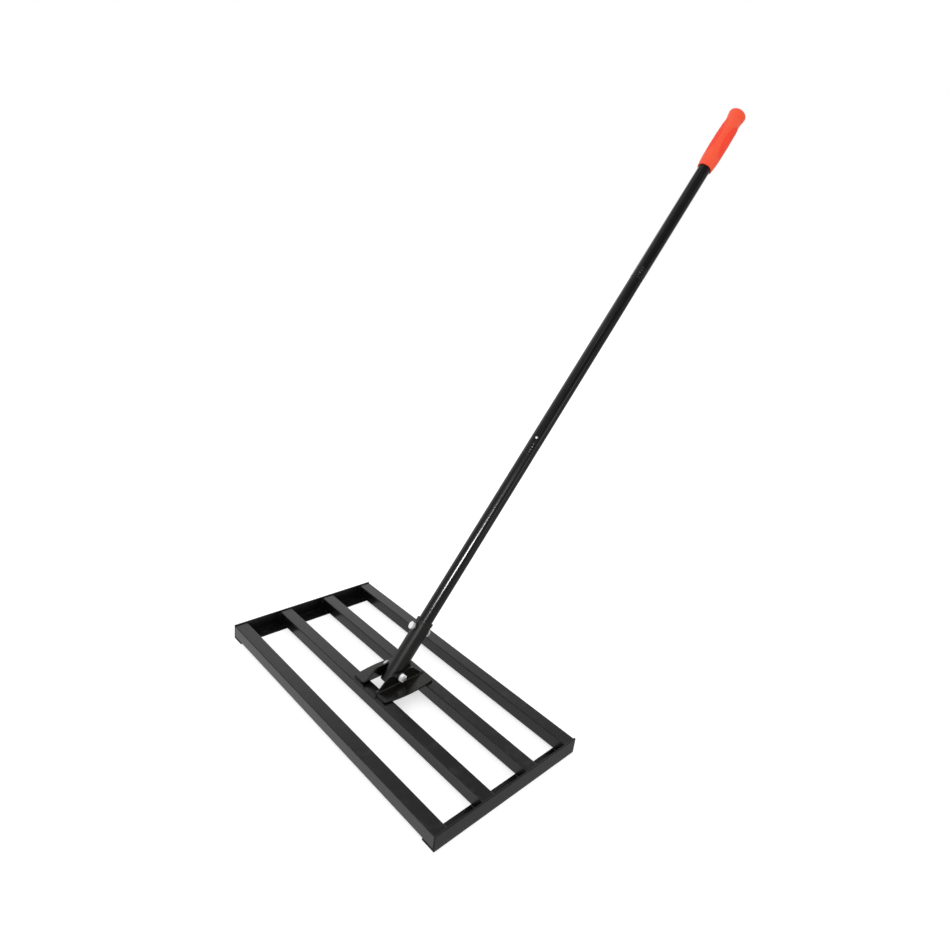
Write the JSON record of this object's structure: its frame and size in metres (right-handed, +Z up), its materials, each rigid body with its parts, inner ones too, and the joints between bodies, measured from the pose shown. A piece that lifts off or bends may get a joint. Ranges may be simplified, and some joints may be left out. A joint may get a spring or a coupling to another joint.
{
  "type": "lawn leveler",
  "caption": "Lawn leveler: a welded rectangular drag frame of square bars between angle rails, with a hinged long tubular push handle in joined sections and a moulded grip.",
  "frame": {"origin": "middle of the footprint of the whole tool, on the ground, so that the frame's centre lies 0.319 m towards -Y and the grip's end 0.472 m towards +Y", "axes": "+X along the frame's long side, which is also the handle's hinge axis; +Y the way the handle leans, towards the user; +Z up"},
  "size_m": [0.61, 0.944, 1.1149],
  "materials": {
    "frame_black": "semi-matte black powder coat",
    "handle_black": "gloss black enamel",
    "zinc": "bright zinc plate",
    "spring_steel": "bare spring steel",
    "grip_orange": "matte orange-red moulded rubber"
  },
  "bodies": {
    "drag_frame": {"end_rail_right": "frame_black", "end_rail_left": "frame_black", "long_bar_1": "frame_black", "long_bar_2": "frame_black", "long_bar_3": "frame_black", "long_bar_4": "frame_black", "handle_bracket_right": "frame_black", "handle_bracket_left": "frame_black", "pivot_bolt": "zinc", "pivot_head_washer": "zinc", "pivot_nut_washer": "zinc", "pivot_nut": "zinc"},
    "handle": {"handle_socket": "frame_black", "clamp_bolt": "zinc", "clamp_washer": "zinc", "clamp_nut": "zinc", "handle_tube_lower": "handle_black", "handle_tube_middle": "handle_black", "handle_tube_upper": "handle_black", "lower_button_spring": "spring_steel", "upper_button_spring": "spring_steel", "grip": "grip_orange"},
    "lower_button": {"lower_snap_button": "zinc"},
    "upper_button": {"upper_snap_button": "zinc"}
  },
  "joints": [
    {"name": "handle_tilt", "type": "hinge", "parent": "drag_frame", "child": "handle", "pos_m": [0, -0.31945, 0.0446], "axis": [1, 0, 0], "range_deg": [-53, 125]},
    {"name": "lower_button_press", "type": "slide", "parent": "handle", "child": "lower_button", "axis": [-0.4226, 0.7304, -0.5365], "range_m": [0, 0.0035], "stiffness_N_per_m": 1500, "springref_m": -0.002, "deforming": ["lower_button_spring"]},
    {"name": "upper_button_press", "type": "slide", "parent": "handle", "child": "upper_button", "axis": [0, -0.8059, 0.592], "range_m": [0, 0.0035], "stiffness_N_per_m": 1500, "springref_m": -0.002, "deforming": ["upper_button_spring"]}
  ]
}
